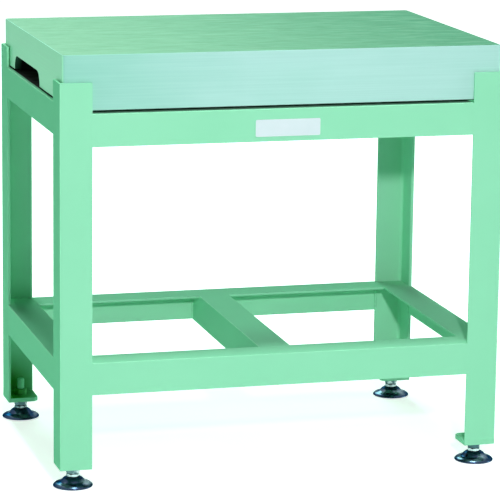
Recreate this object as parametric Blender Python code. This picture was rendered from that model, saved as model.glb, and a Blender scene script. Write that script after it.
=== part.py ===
"""A welded steel angle stand on four levelling feet, with the cast-iron surface plate that it carries.

Metres, +Z up. The origin is on the floor, midway between the feet. The long side runs along X,
and the side with the blank label plate faces -Y.
"""

import math

import bmesh
import bpy
from mathutils import Matrix, Vector

# Gap between two pieces that touch, and the overrun of a cutting shape
SEAM = 0.0003
OVERRUN = 0.010

# Surface plate: a ribbed iron box, open below
PLATE_LENGTH = 0.900
PLATE_WIDTH = 0.600
PLATE_HEIGHT = 0.110
PLATE_TOP_THICKNESS = 0.020
PLATE_WALL = 0.014
PLATE_RIB = 0.012
PLATE_RIB_DEPTH = 0.037
PLATE_EDGE_CHAMFER = 0.0015
PLATE_CORNER_RADIUS = 0.007
PLATE_POCKET_RADIUS = 0.010
PLATE_TRANSVERSE_RIB_SHARES = (-1 / 3, 1 / 3)
PLATE_PROUD = 0.054
PLATE_CLEARANCE = 0.001

# The plate's ends are cut short over the side rails, and stand on four cast pads
END_RELIEF = 0.017
END_RELIEF_CLEARANCE = 0.005
END_GAP = 0.004
REST_PAD_SIZE = 0.036
REST_PAD_INSET = 0.024

# Hand hole in each end of the plate
HAND_HOLE_LENGTH = 0.262
HAND_HOLE_HEIGHT = 0.030
HAND_HOLE_RADIUS = 0.026
HAND_HOLE_OFFSET = 0.058

# Equal steel angle, used for every bar of the frame
ANGLE_WIDTH = 0.065
ANGLE_THICKNESS = 0.006
ANGLE_ROOT_RADIUS = 0.008
ANGLE_TOE_RADIUS = 0.004

# Frame, with heights above the underside of the foot plates
FRAME_HEIGHT = 0.775
FRONT_RAIL_DROP = 0.005
LOWER_RAIL_TOP = 0.217
FOOT_PLATE_THICKNESS = 0.010
FOOT_PLATE_CORNER = 0.008

# Blank label plate on the front rail
LABEL_LENGTH = 0.133
LABEL_HEIGHT = 0.034
LABEL_THICKNESS = 0.0006
LABEL_CORNER = 0.003
LABEL_DROP = 0.0055
LABEL_SHIFT = 0.003

# M16 levelling foot
STUD_DIAMETER = 0.016
STUD_TOP = 0.045
STUD_CHAMFER = 0.0015
THREAD_CLEARANCE = 0.0003
NUT_ACROSS_FLATS = 0.024
NUT_HEIGHT = 0.013
NUT_CHAMFER_FLAT = 0.0225
NUT_CHAMFER_ANGLE = math.radians(30)
COLLAR_HEIGHT = 0.006
BALL_DIAMETER = 0.014
BALL_NECK_DIAMETER = 0.0105
BALL_HEIGHT = 0.011
SOCKET_MOUTH_DIAMETER = 0.0126
PAD_DIAMETER = 0.080
PAD_HEIGHT = 0.020
PAD_SOLE_DIAMETER = 0.075
PAD_RIM_LOW = 0.0014
PAD_RIM_HIGH = 0.0030
PAD_SHOULDER_DIAMETER = 0.051
PAD_SHOULDER_HEIGHT = 0.0104
PAD_CROWN_DIAMETER = 0.031
PAD_CROWN_HEIGHT = 0.0185

# Smoothness of round shapes
FILLET_STEPS = 3
ROUND_STEPS = 24
PAD_STEPS = 36
SOCKET_STEPS = 7

# Places worked out from the sizes above
FRAME_LENGTH = PLATE_LENGTH + 2 * (ANGLE_THICKNESS + PLATE_CLEARANCE)
FRAME_DEPTH = PLATE_WIDTH + 2 * (ANGLE_THICKNESS + PLATE_CLEARANCE)
FOOT_PLATE_UNDERSIDE = PAD_HEIGHT + COLLAR_HEIGHT + NUT_HEIGHT + 3 * SEAM
FOOT_PLATE_TOP = FOOT_PLATE_UNDERSIDE + FOOT_PLATE_THICKNESS
FRAME_TOP = FOOT_PLATE_UNDERSIDE + FRAME_HEIGHT
PLATE_TOP = FRAME_TOP + PLATE_PROUD
PLATE_BOTTOM = PLATE_TOP - PLATE_HEIGHT
FRONT_RAIL_TOP = PLATE_BOTTOM - FRONT_RAIL_DROP
SIDE_RAIL_TOP = PLATE_BOTTOM + END_RELIEF - END_GAP
LOWER_TOP = FOOT_PLATE_UNDERSIDE + LOWER_RAIL_TOP
HALF_LENGTH = FRAME_LENGTH / 2
HALF_DEPTH = FRAME_DEPTH / 2
NUT_ACROSS_CORNERS = NUT_ACROSS_FLATS / math.cos(math.pi / 6)
COLLAR_BOTTOM = PAD_HEIGHT + SEAM
LOCKNUT_BOTTOM = COLLAR_BOTTOM + COLLAR_HEIGHT + SEAM

X = Vector((1, 0, 0))
Y = Vector((0, 1, 0))
Z = Vector((0, 0, 1))

# Colour, roughness and metallic value of each finish
MINT_PAINT = ((0.270, 0.775, 0.480, 1), 0.42, 0.0)
SCRAPED_IRON = ((0.240, 0.610, 0.390, 1), 0.38, 0.85)
DARK_CHROME = ((0.075, 0.145, 0.200, 1), 0.16, 1.0)
ZINC = ((0.560, 0.640, 0.640, 1), 0.28, 1.0)
WHITE_ENAMEL = ((0.880, 0.930, 0.890, 1), 0.35, 0.0)


def clear_scene():
    for old in list(bpy.data.objects):
        bpy.data.objects.remove(old)


def give_finish(piece, finish):
    """Gives a piece a material of its own."""
    colour, roughness, metallic = finish
    material = bpy.data.materials.new(piece.name + "_finish")
    material.use_nodes = True
    shader = material.node_tree.nodes["Principled BSDF"]
    shader.inputs["Base Color"].default_value = colour
    shader.inputs["Roughness"].default_value = roughness
    shader.inputs["Metallic"].default_value = metallic
    material.diffuse_color = colour
    piece.data.materials.clear()
    piece.data.materials.append(material)


def mesh_from(shape, name):
    """Turns a bmesh into a mesh whose faces all point outwards."""
    bmesh.ops.remove_doubles(shape, verts=shape.verts, dist=SEAM / 100)
    bmesh.ops.recalc_face_normals(shape, faces=shape.faces)
    mesh = bpy.data.meshes.new(name)
    shape.to_mesh(mesh)
    shape.free()
    return mesh


def add_piece(name, mesh, finish, place=(0, 0, 0)):
    piece = bpy.data.objects.new(name, mesh)
    bpy.context.collection.objects.link(piece)
    piece.location = place
    give_finish(piece, finish)
    return piece


def add_cutter(name, shape, place=(0, 0, 0)):
    """A shape that only cuts, or adds to, another piece."""
    cutter = bpy.data.objects.new(name, mesh_from(shape, name))
    bpy.context.collection.objects.link(cutter)
    cutter.location = place
    cutter.hide_render = True
    cutter.display_type = "WIRE"
    return cutter


def combine(piece, other, operation):
    change = piece.modifiers.new(other.name, "BOOLEAN")
    change.operation = operation
    change.solver = "EXACT"
    change.object = other


def settle(piece):
    """The mesh that a piece has once its modifiers have acted."""
    graph = bpy.context.evaluated_depsgraph_get()
    return bpy.data.meshes.new_from_object(piece.evaluated_get(graph))


def box(low, high):
    """A closed box between two corners."""
    low, high = Vector(low), Vector(high)
    shape = bmesh.new()
    bmesh.ops.create_cube(shape, size=1)
    bmesh.ops.scale(shape, vec=high - low, verts=shape.verts)
    bmesh.ops.translate(shape, vec=(low + high) / 2, verts=shape.verts)
    return shape


def arc(centre, radius, start, end, steps):
    """Points on a circular arc in a plane, both ends included."""
    turns = [start + (end - start) * step / steps for step in range(steps + 1)]
    return [(centre[0] + radius * math.cos(a), centre[1] + radius * math.sin(a)) for a in turns]


def rounded_outline(low, high, radius, steps):
    """A rectangle between two corners, with its own corners rounded."""
    quarter = math.pi / 2
    left, right = low[0] + radius, high[0] - radius
    front, rear = low[1] + radius, high[1] - radius
    outline = arc((right, rear), radius, 0, quarter, steps)
    outline += arc((left, rear), radius, quarter, 2 * quarter, steps)
    outline += arc((left, front), radius, 2 * quarter, 3 * quarter, steps)
    outline += arc((right, front), radius, 3 * quarter, 4 * quarter, steps)
    return outline


def prism(outline, depth):
    """An outline in the XY plane, raised along +Z by a depth."""
    shape = bmesh.new()
    face = shape.faces.new([shape.verts.new((x, y, 0)) for x, y in outline])
    raised = bmesh.ops.extrude_face_region(shape, geom=[face])["geom"]
    top = [item for item in raised if isinstance(item, bmesh.types.BMVert)]
    bmesh.ops.translate(shape, vec=Z * depth, verts=top)
    return shape


def turned(profile, steps):
    """A profile of radius and height, spun once round Z. Both its ends lie on the axis."""
    shape = bmesh.new()
    points = [shape.verts.new((radius, 0, height)) for radius, height in profile]
    edges = [shape.edges.new(pair) for pair in zip(points, points[1:])]
    bmesh.ops.spin(
        shape,
        geom=points + edges,
        cent=(0, 0, 0),
        axis=Z,
        angle=math.tau,
        steps=steps,
        use_merge=True,
    )
    return shape


def hexagon(across_flats, low, high):
    """A hexagonal prism on the Z axis with a flat towards -Y."""
    shape = bmesh.new()
    bmesh.ops.create_cone(
        shape,
        cap_ends=True,
        segments=6,
        radius1=across_flats / 2 / math.cos(math.pi / 6),
        radius2=across_flats / 2 / math.cos(math.pi / 6),
        depth=high - low,
    )
    bmesh.ops.rotate(shape, matrix=Matrix.Rotation(math.pi / 6, 3, "Z"), verts=shape.verts)
    bmesh.ops.translate(shape, vec=Z * (low + high) / 2, verts=shape.verts)
    return shape


def angle_outline(grow):
    """The section of the rolled angle, with its corner at the origin and its legs along +X and +Y.

    A grown section is that much larger all round, and cuts the room for the bar in its neighbour.
    """
    inner = ANGLE_THICKNESS + grow
    tip = ANGLE_WIDTH + grow
    root = ANGLE_ROOT_RADIUS - grow
    toe = ANGLE_TOE_RADIUS + grow
    quarter = math.pi / 2
    outline = [(-grow, -grow), (tip, -grow)]
    outline += arc((tip - toe, inner - toe), toe, 0, quarter, FILLET_STEPS)
    outline += arc((inner + root, inner + root), root, 3 * quarter, 2 * quarter, FILLET_STEPS)
    outline += arc((inner - toe, tip - toe), toe, 0, quarter, FILLET_STEPS)
    outline += [(-grow, tip)]
    return outline


def angle_shape(start, first, second, length, grow=0):
    """A bar of angle that runs from its start along the cross product of its two legs' directions."""
    shape = prism(angle_outline(grow), length)
    turn = Matrix((first, second, first.cross(second))).transposed()
    bmesh.ops.transform(shape, matrix=turn.to_4x4(), verts=shape.verts)
    bmesh.ops.translate(shape, vec=Vector(start), verts=shape.verts)
    return shape


def add_bar(name, start, first, second, length):
    mesh = mesh_from(angle_shape(start, first, second, length), name)
    return add_piece(name, mesh, MINT_PAINT)


def corners():
    """Name, side signs and the two leg directions of each corner of the frame."""
    yield "front_left", -1, -1, X, Y
    yield "front_right", 1, -1, Y, -X
    yield "rear_right", 1, 1, -X, -Y
    yield "rear_left", -1, 1, -Y, X


def add_legs():
    foot = FOOT_PLATE_TOP + SEAM
    for name, side, end, first, second in corners():
        start = (side * HALF_LENGTH, end * HALF_DEPTH, foot)
        add_bar("leg_" + name, start, first, second, FRAME_TOP - foot)


def add_long_rails(level, top):
    """Front and rear rails between the legs, web outside and flange on top."""
    reach = HALF_LENGTH - ANGLE_WIDTH - SEAM
    add_bar("front_" + level, (-reach, -HALF_DEPTH, top), -Z, Y, 2 * reach)
    add_bar("rear_" + level, (-reach, HALF_DEPTH, top), -Y, -Z, 2 * reach)


def add_upper_side_rails():
    """The plate rests on their flanges, so they stop at the legs."""
    reach = HALF_DEPTH - ANGLE_WIDTH - SEAM
    add_bar("left_top_rail", (-HALF_LENGTH, -reach, SIDE_RAIL_TOP), X, -Z, 2 * reach)
    add_bar("right_top_rail", (HALF_LENGTH, -reach, SIDE_RAIL_TOP), -Z, -X, 2 * reach)


def add_lower_side_rails():
    """Their flanges run on into the corners of the legs, and are cut to the legs' shape."""
    reach = HALF_DEPTH - ANGLE_THICKNESS - SEAM
    rails = {
        -1: add_bar("left_lower_rail", (-HALF_LENGTH, -reach, LOWER_TOP), X, -Z, 2 * reach),
        1: add_bar("right_lower_rail", (HALF_LENGTH, -reach, LOWER_TOP), -Z, -X, 2 * reach),
    }
    low = LOWER_TOP - ANGLE_WIDTH - OVERRUN
    height = ANGLE_WIDTH + 2 * OVERRUN
    for name, side, end, first, second in corners():
        start = (side * HALF_LENGTH, end * HALF_DEPTH, low)
        shape = angle_shape(start, first, second, height, SEAM)
        combine(rails[side], add_cutter("cope_" + name, shape), "DIFFERENCE")


def add_cross_bar():
    """The bar under the middle. Its web passes below the long rails' flanges to their webs."""
    reach = HALF_DEPTH - ANGLE_THICKNESS - SEAM
    left = -ANGLE_WIDTH / 2
    bar = add_bar("lower_cross_bar", (left, -reach, LOWER_TOP), X, -Z, 2 * reach)
    run = ANGLE_WIDTH + 2 * OVERRUN
    start = left - OVERRUN
    front = angle_shape((start, -HALF_DEPTH, LOWER_TOP), -Z, Y, run, SEAM)
    rear = angle_shape((start, HALF_DEPTH, LOWER_TOP), -Y, -Z, run, SEAM)
    combine(bar, add_cutter("cope_front", front), "DIFFERENCE")
    combine(bar, add_cutter("cope_rear", rear), "DIFFERENCE")


def foot_centres():
    """Name, centre, and side signs of each levelling foot."""
    inset = ANGLE_WIDTH / 2
    for name, side, end, _, _ in corners():
        yield name, side * (HALF_LENGTH - inset), end * (HALF_DEPTH - inset), side, end


def foot_plate_shape(side, end):
    """A square plate with its inner corner cut off and a hole for the stud."""
    half = ANGLE_WIDTH / 2
    cut = half - FOOT_PLATE_CORNER
    outline = [(-half, -half), (half, -half), (half, cut), (cut, half), (-half, half)]
    shape = prism([(-side * x, -end * y) for x, y in outline], FOOT_PLATE_THICKNESS)
    return shape


def clearance_hole(low, high):
    shape = bmesh.new()
    radius = STUD_DIAMETER / 2 + THREAD_CLEARANCE
    bmesh.ops.create_cone(
        shape, cap_ends=True, segments=ROUND_STEPS, radius1=radius, radius2=radius, depth=high - low
    )
    bmesh.ops.translate(shape, vec=Z * (low + high) / 2, verts=shape.verts)
    return shape


def add_foot_plates():
    for name, x, y, side, end in foot_centres():
        place = (x, y, FOOT_PLATE_UNDERSIDE)
        mesh = mesh_from(foot_plate_shape(side, end), "foot_plate")
        plate = add_piece("foot_plate_" + name, mesh, MINT_PAINT, place)
        hole = clearance_hole(-OVERRUN, FOOT_PLATE_THICKNESS + OVERRUN)
        combine(plate, add_cutter("stud_hole_" + name, hole, place), "DIFFERENCE")


def chamfer_form(height):
    """A turned form that holds a nut, and takes off the corners at both ends."""
    flat = NUT_CHAMFER_FLAT / 2
    outer = NUT_ACROSS_CORNERS / 2 + SEAM
    drop = (outer - flat) * math.tan(NUT_CHAMFER_ANGLE)
    profile = [(0, 0), (flat, 0), (outer, drop), (outer, height - drop), (flat, height), (0, height)]
    return turned(profile, ROUND_STEPS)


def nut_mesh():
    """A hexagon nut that stands on the origin."""
    nut = add_piece("nut", mesh_from(hexagon(NUT_ACROSS_FLATS, 0, NUT_HEIGHT), "nut"), ZINC)
    form = add_cutter("nut_form", chamfer_form(NUT_HEIGHT))
    bore = add_cutter("nut_bore", clearance_hole(-OVERRUN, NUT_HEIGHT + OVERRUN))
    combine(nut, form, "INTERSECT")
    combine(nut, bore, "DIFFERENCE")
    mesh = settle(nut)
    for used in (nut, form, bore):
        bpy.data.objects.remove(used)
    return mesh


def stud_mesh():
    """The stud with its ball end, neck, wrench collar and shank, with its origin on the floor."""
    ball = BALL_DIAMETER / 2
    neck = BALL_NECK_DIAMETER / 2
    shank = STUD_DIAMETER / 2
    collar_middle = COLLAR_BOTTOM + COLLAR_HEIGHT / 2
    top = FOOT_PLATE_UNDERSIDE + STUD_TOP
    neck_turn = math.acos(neck / ball)
    profile = arc((0, BALL_HEIGHT), ball, -math.pi / 2, neck_turn, SOCKET_STEPS)
    profile[0] = (0, BALL_HEIGHT - ball)
    profile += [
        (neck, collar_middle),
        (shank, collar_middle),
        (shank, top - STUD_CHAMFER),
        (shank - STUD_CHAMFER, top),
        (0, top),
    ]
    stud = add_piece("stud", mesh_from(turned(profile, ROUND_STEPS), "stud"), ZINC)
    collar_top = COLLAR_BOTTOM + COLLAR_HEIGHT
    collar = add_cutter("collar", hexagon(NUT_ACROSS_FLATS, COLLAR_BOTTOM, collar_top))
    combine(stud, collar, "UNION")
    mesh = settle(stud)
    for used in (stud, collar):
        bpy.data.objects.remove(used)
    return mesh


def pad_mesh():
    """The pressed dome with a flat sole, and a socket that holds the stud's ball."""
    socket = BALL_DIAMETER / 2 + SEAM
    mouth = SOCKET_MOUTH_DIAMETER / 2
    rim = PAD_DIAMETER / 2
    lip = PAD_RIM_HIGH - PAD_RIM_LOW
    shoulder = PAD_SHOULDER_DIAMETER / 2
    crown = PAD_CROWN_DIAMETER / 2
    slope_share = 0.30
    swell_share = 1.85
    slope_radius = rim - lip + (shoulder - rim + lip) * slope_share
    slope_height = PAD_RIM_HIGH + (PAD_SHOULDER_HEIGHT - PAD_RIM_HIGH) * slope_share * swell_share
    profile = [
        (0, 0),
        (PAD_SOLE_DIAMETER / 2, 0),
        (rim - lip, PAD_RIM_LOW / 2),
        (rim, PAD_RIM_LOW),
        (rim, PAD_RIM_HIGH),
        (rim - lip, PAD_RIM_HIGH + lip / 2),
        (slope_radius, slope_height),
        (shoulder, PAD_SHOULDER_HEIGHT),
        (crown, PAD_CROWN_HEIGHT),
        (crown - lip, PAD_HEIGHT),
        (mouth, PAD_HEIGHT),
    ]
    mouth_turn = math.acos(mouth / socket)
    profile += arc((0, BALL_HEIGHT), socket, mouth_turn, -math.pi / 2, SOCKET_STEPS)
    profile[-1] = (0, BALL_HEIGHT - socket)
    return mesh_from(turned(profile, PAD_STEPS), "foot_pad")


def add_feet():
    """Each foot: a pad on the floor, its stud, the locknut under the plate and the welded nut on it."""
    nut = nut_mesh()
    stud = stud_mesh()
    pad = pad_mesh()
    for name, x, y, _, _ in foot_centres():
        add_piece("foot_pad_" + name, pad.copy(), DARK_CHROME, (x, y, 0))
        add_piece("foot_stud_" + name, stud.copy(), ZINC, (x, y, 0))
        add_piece("foot_locknut_" + name, nut.copy(), ZINC, (x, y, LOCKNUT_BOTTOM))
        add_piece("foot_weld_nut_" + name, nut.copy(), MINT_PAINT, (x, y, FOOT_PLATE_TOP + SEAM))


def add_label():
    """A thin blank plate stuck to the middle of the front rail."""
    half = LABEL_LENGTH / 2
    rise = LABEL_HEIGHT / 2
    outline = rounded_outline((-half, -rise), (half, rise), LABEL_CORNER, FILLET_STEPS)
    shape = prism(outline, LABEL_THICKNESS)
    turn = Matrix.Rotation(math.pi / 2, 3, "X")
    bmesh.ops.rotate(shape, matrix=turn, verts=shape.verts)
    place = (LABEL_SHIFT, -HALF_DEPTH - SEAM, FRONT_RAIL_TOP - ANGLE_WIDTH / 2 - LABEL_DROP)
    add_piece("label_plate", mesh_from(shape, "label_plate"), WHITE_ENAMEL, place)


def plate_cavity():
    """The open underside, below the ribs."""
    x = PLATE_LENGTH / 2 - PLATE_WALL
    y = PLATE_WIDTH / 2 - PLATE_WALL
    top = PLATE_HEIGHT - PLATE_TOP_THICKNESS - PLATE_RIB_DEPTH
    return box((-x, -y, -OVERRUN), (x, y, top))


def plate_pockets():
    """The six pockets between the walls and the ribs."""
    x_end = PLATE_LENGTH / 2 - PLATE_WALL
    y_end = PLATE_WIDTH / 2 - PLATE_WALL
    half = PLATE_RIB / 2
    x_ribs = [share * PLATE_LENGTH / 2 for share in PLATE_TRANSVERSE_RIB_SHARES]
    x_starts = [-x_end] + [x + half for x in x_ribs]
    x_stops = [x - half for x in x_ribs] + [x_end]
    low = PLATE_HEIGHT - PLATE_TOP_THICKNESS - PLATE_RIB_DEPTH - OVERRUN
    shapes = []
    for x_start, x_stop in zip(x_starts, x_stops):
        for y_start, y_stop in ((-y_end, -half), (half, y_end)):
            low_corner = (x_start, y_start)
            high_corner = (x_stop, y_stop)
            outline = rounded_outline(low_corner, high_corner, PLATE_POCKET_RADIUS, FILLET_STEPS)
            pocket = prism(outline, PLATE_RIB_DEPTH + OVERRUN)
            bmesh.ops.translate(pocket, vec=Z * low, verts=pocket.verts)
            shapes.append(pocket)
    return shapes


def plate_end_relief(side):
    """Cuts the end wall short over the side rail, and leaves a foot at each corner."""
    foot = ANGLE_WIDTH - ANGLE_THICKNESS - PLATE_CLEARANCE - END_RELIEF_CLEARANCE
    y = PLATE_WIDTH / 2 - foot
    near = side * (PLATE_LENGTH / 2 + OVERRUN)
    far = side * (PLATE_LENGTH / 2 - PLATE_WALL - SEAM)
    return box((min(near, far), -y, -OVERRUN), (max(near, far), y, END_RELIEF))


def hand_hole(side):
    """An arch with round upper corners through the end wall, open into the relief below it."""
    half = HAND_HOLE_LENGTH / 2
    inner = half - HAND_HOLE_RADIUS
    top = END_RELIEF + HAND_HOLE_HEIGHT - HAND_HOLE_RADIUS
    quarter = math.pi / 2
    outline = [(half, END_RELIEF - OVERRUN)]
    outline += arc((inner, top), HAND_HOLE_RADIUS, 0, quarter, 2 * FILLET_STEPS)
    outline += arc((-inner, top), HAND_HOLE_RADIUS, quarter, 2 * quarter, 2 * FILLET_STEPS)
    outline += [(-half, END_RELIEF - OVERRUN)]
    shape = prism(outline, PLATE_WALL + OVERRUN + SEAM)
    stand = Matrix((Y, Z, X)).transposed()
    bmesh.ops.rotate(shape, matrix=stand, verts=shape.verts)
    start = PLATE_LENGTH / 2 - PLATE_WALL - SEAM
    bmesh.ops.translate(shape, vec=(start, HAND_HOLE_OFFSET, 0), verts=shape.verts)
    if side < 0:
        bmesh.ops.scale(shape, vec=(-1, 1, 1), verts=shape.verts)
    return shape


def rest_pad(side, end):
    """A cast pad in the corner of the underside that stands on the side rail's flange."""
    x = side * (PLATE_LENGTH / 2 - PLATE_WALL / 2)
    x_inner = side * (PLATE_LENGTH / 2 - PLATE_WALL - REST_PAD_SIZE)
    y = end * (HALF_DEPTH - ANGLE_WIDTH - REST_PAD_INSET)
    half = REST_PAD_SIZE / 2
    low = END_RELIEF - END_GAP + SEAM
    high = PLATE_HEIGHT - PLATE_TOP_THICKNESS / 2
    return box((min(x, x_inner), y - half, low), (max(x, x_inner), y + half, high))


def add_surface_plate():
    half_length = PLATE_LENGTH / 2
    half_width = PLATE_WIDTH / 2
    place = (0, 0, PLATE_BOTTOM)
    low_corner = (-half_length, -half_width)
    high_corner = (half_length, half_width)
    outline = rounded_outline(low_corner, high_corner, PLATE_CORNER_RADIUS, FILLET_STEPS)
    block = prism(outline, PLATE_HEIGHT)
    level = [edge for edge in block.edges if abs(edge.verts[0].co.z - edge.verts[1].co.z) < SEAM]
    bmesh.ops.bevel(
        block,
        geom=level,
        offset=PLATE_EDGE_CHAMFER,
        affect="EDGES",
        segments=1,
        profile=0.5,
        material=-1,
    )
    plate = add_piece("surface_plate", mesh_from(block, "surface_plate"), SCRAPED_IRON, place)
    combine(plate, add_cutter("cavity", plate_cavity(), place), "DIFFERENCE")
    for number, pocket in enumerate(plate_pockets()):
        combine(plate, add_cutter(f"pocket_{number}", pocket, place), "DIFFERENCE")
    for side in (-1, 1):
        combine(plate, add_cutter(f"relief_{side}", plate_end_relief(side), place), "DIFFERENCE")
        combine(plate, add_cutter(f"hand_hole_{side}", hand_hole(side), place), "DIFFERENCE")
        for end in (-1, 1):
            combine(plate, add_cutter(f"rest_pad_{side}_{end}", rest_pad(side, end), place), "UNION")


def smooth_round_pieces():
    """Round surfaces shade smooth, and every edge sharper than this stays crisp."""
    crease = math.radians(30)
    for piece in bpy.data.objects:
        if piece.type == "MESH" and not piece.hide_render:
            piece.data.shade_smooth()
            piece.data.set_sharp_from_angle(angle=crease)


clear_scene()
add_legs()
add_long_rails("top_rail", FRONT_RAIL_TOP)
add_upper_side_rails()
add_long_rails("lower_rail", LOWER_TOP)
add_lower_side_rails()
add_cross_bar()
add_foot_plates()
add_feet()
add_label()
add_surface_plate()
smooth_round_pieces()
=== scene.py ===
"""Looks of a welded steel angle stand and the cast-iron surface plate that rests in it."""

import math

import bmesh
import bpy
from mathutils import Matrix, Vector


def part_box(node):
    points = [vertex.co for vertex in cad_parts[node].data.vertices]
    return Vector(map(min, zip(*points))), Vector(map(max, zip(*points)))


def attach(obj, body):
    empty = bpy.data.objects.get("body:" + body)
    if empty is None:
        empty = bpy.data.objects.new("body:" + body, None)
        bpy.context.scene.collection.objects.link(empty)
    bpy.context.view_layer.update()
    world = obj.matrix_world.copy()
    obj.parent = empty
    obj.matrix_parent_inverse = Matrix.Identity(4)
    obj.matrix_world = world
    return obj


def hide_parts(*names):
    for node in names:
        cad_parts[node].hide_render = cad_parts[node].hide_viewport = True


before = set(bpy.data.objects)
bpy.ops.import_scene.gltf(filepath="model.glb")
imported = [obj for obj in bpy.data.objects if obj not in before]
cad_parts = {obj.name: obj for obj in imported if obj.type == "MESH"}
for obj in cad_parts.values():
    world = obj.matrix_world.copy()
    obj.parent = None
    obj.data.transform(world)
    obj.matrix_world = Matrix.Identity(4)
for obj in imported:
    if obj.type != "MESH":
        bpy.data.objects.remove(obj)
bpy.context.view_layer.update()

# The bars are hot-rolled equal steel angle, 65 by 65 by 6 mm, with round roots and toes, sawn to
# length. They are welded, ground flush where two meet on the outside, and sprayed mint green.
# The paint is darkened inside the corner over the rear left foot, as painted shade.
X = Vector((1, 0, 0))
Y = Vector((0, 1, 0))
Z = Vector((0, 0, 1))
ANGLE_WIDTH = 0.065
ANGLE_WALL = 0.006
ANGLE_ROOT = 0.008
ANGLE_TOE = 0.004
ANGLE_HEEL = 0.0011
SAWN_EDGE = 0.0005
SEAM = 0.0003
SAME_POINT = 0.00001
CREASE = math.radians(38)
MINT = (0.268, 0.715, 0.450, 1)
MINT_FADED = (0.286, 0.735, 0.470, 1)
MINT_PAINTED_HIGHLIGHT = (0.340, 0.830, 0.540, 1)
ORANGE_PEEL_DEPTH = 0.0002
CORNER_SHADE = (0.045, 0.336, 0.045, 1)
CORNER_SHADE_INSIDE_WALL = 0.0045
CORNER_SHADE_OVER_PLATE_EDGE = 0.0008
CORNER_SHADE_FULL_UP_TO = 0.075
CORNER_SHADE_ENDS_AT = 0.145
CORNER_SHADE_THINS_FROM = 0.02
CORNER_SHADE_AT_TOE = 0.4
shade_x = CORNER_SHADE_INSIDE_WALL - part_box("leg_front_right")[1].x
shade_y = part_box("leg_rear_left")[1].y - CORNER_SHADE_INSIDE_WALL
shade_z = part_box("foot_plate_rear_left")[1].z - CORNER_SHADE_OVER_PLATE_EDGE


def new_finish(name, colour, roughness, gloss=0.5, metallic=0.0):
    """A material, and what adds to it: its nodes, links, shader and the piece's coordinates."""
    material = bpy.data.materials.new(name)
    material.use_nodes = True
    nodes = material.node_tree.nodes
    shader = nodes["Principled BSDF"]
    shader.inputs["Base Color"].default_value = colour
    shader.inputs["Roughness"].default_value = roughness
    shader.inputs["Specular IOR Level"].default_value = gloss
    shader.inputs["Metallic"].default_value = metallic
    place = nodes.new("ShaderNodeTexCoord").outputs["Object"]
    return material, nodes, material.node_tree.links, shader, place


def noise(nodes, links, place, scale, detail=3.0, roughness=0.5):
    """A noise texture on the piece's own coordinates, in cells per metre."""
    texture = nodes.new("ShaderNodeTexNoise")
    texture.inputs["Scale"].default_value = scale
    texture.inputs["Detail"].default_value = detail
    texture.inputs["Roughness"].default_value = roughness
    links.new(place, texture.inputs["Vector"])
    return texture.outputs["Fac"]


def spread(nodes, links, value, low, high, start=0.3, stop=0.7):
    """Turns a pattern's value into a number between two limits."""
    span = nodes.new("ShaderNodeMapRange")
    span.inputs["From Min"].default_value = start
    span.inputs["From Max"].default_value = stop
    span.inputs["To Min"].default_value = low
    span.inputs["To Max"].default_value = high
    links.new(value, span.inputs["Value"])
    return span.outputs["Result"]


def combine(nodes, links, operation, first, *others):
    """Multiplies or adds values, or takes the greatest. The result stays between 0 and 1."""
    for other in others:
        pair = nodes.new("ShaderNodeMath")
        pair.operation = operation
        pair.use_clamp = True
        links.new(first, pair.inputs[0])
        links.new(other, pair.inputs[1])
        first = pair.outputs[0]
    return first


def by_axis(nodes, links, place):
    """The X, Y and Z of a place."""
    apart = nodes.new("ShaderNodeSeparateXYZ")
    links.new(place, apart.inputs[0])
    return apart.outputs


def tint(nodes, links, amount, first, second):
    """Mixes two colours by a pattern. Either may be a colour or another node's output."""
    blend = nodes.new("ShaderNodeMix")
    blend.data_type = "RGBA"
    links.new(amount, blend.inputs["Factor"])
    for socket, colour in ((blend.inputs[6], first), (blend.inputs[7], second)):
        if isinstance(colour, tuple):
            socket.default_value = colour
        else:
            links.new(colour, socket)
    return blend.outputs[2]


def relief(nodes, links, shader, height, depth, strength):
    """Raises the surface by a pattern, with its depth in metres."""
    bump = nodes.new("ShaderNodeBump")
    bump.inputs["Distance"].default_value = depth
    bump.inputs["Strength"].default_value = strength
    links.new(height, bump.inputs["Height"])
    links.new(bump.outputs["Normal"], shader.inputs["Normal"])


def shade_in_a_corner(nodes, links, place):
    """1 inside the corner of the rear left leg, and 0 on its outside and everywhere else."""
    toe_x, toe_y = shade_x + ANGLE_WIDTH, shade_y - ANGLE_WIDTH
    limits = (
        ("Z", 0, 1, shade_z - SEAM, shade_z),
        ("Z", 1, 0, CORNER_SHADE_FULL_UP_TO, CORNER_SHADE_ENDS_AT),
        ("X", 0, 1, shade_x, shade_x + SEAM),
        ("X", 1, CORNER_SHADE_AT_TOE, shade_x + CORNER_SHADE_THINS_FROM, toe_x),
        ("X", 1, 0, toe_x, toe_x + SEAM),
        ("Y", 1, 0, shade_y - SEAM, shade_y),
        ("Y", 0, 1, toe_y - SEAM, toe_y),
    )
    axes = by_axis(nodes, links, place)
    inside = [spread(nodes, links, axes[axis], *limit) for axis, *limit in limits]
    return combine(nodes, links, "MULTIPLY", *inside)


def mint_paint():
    """Sprayed enamel, a little cloudy, with a faint orange peel, and painted shade in one corner."""
    material, nodes, links, shader, place = new_finish("mint_enamel", MINT, 0.5, gloss=0.001)
    cloud = spread(nodes, links, noise(nodes, links, place, 5), 0, 1)
    colour = tint(nodes, links, cloud, MINT, MINT_FADED)
    # Painted shade: the paint turns dark green inside the rear left leg's corner, fading upwards.
    corner_shaded = shade_in_a_corner(nodes, links, place)
    links.new(tint(nodes, links, corner_shaded, colour, CORNER_SHADE), shader.inputs["Base Color"])
    sheen = spread(nodes, links, noise(nodes, links, place, 14), 0.36, 0.46)
    links.new(sheen, shader.inputs["Roughness"])
    peel = noise(nodes, links, place, 420, 2)
    relief(nodes, links, shader, peel, ORANGE_PEEL_DEPTH, 0.25)
    return material


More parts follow.
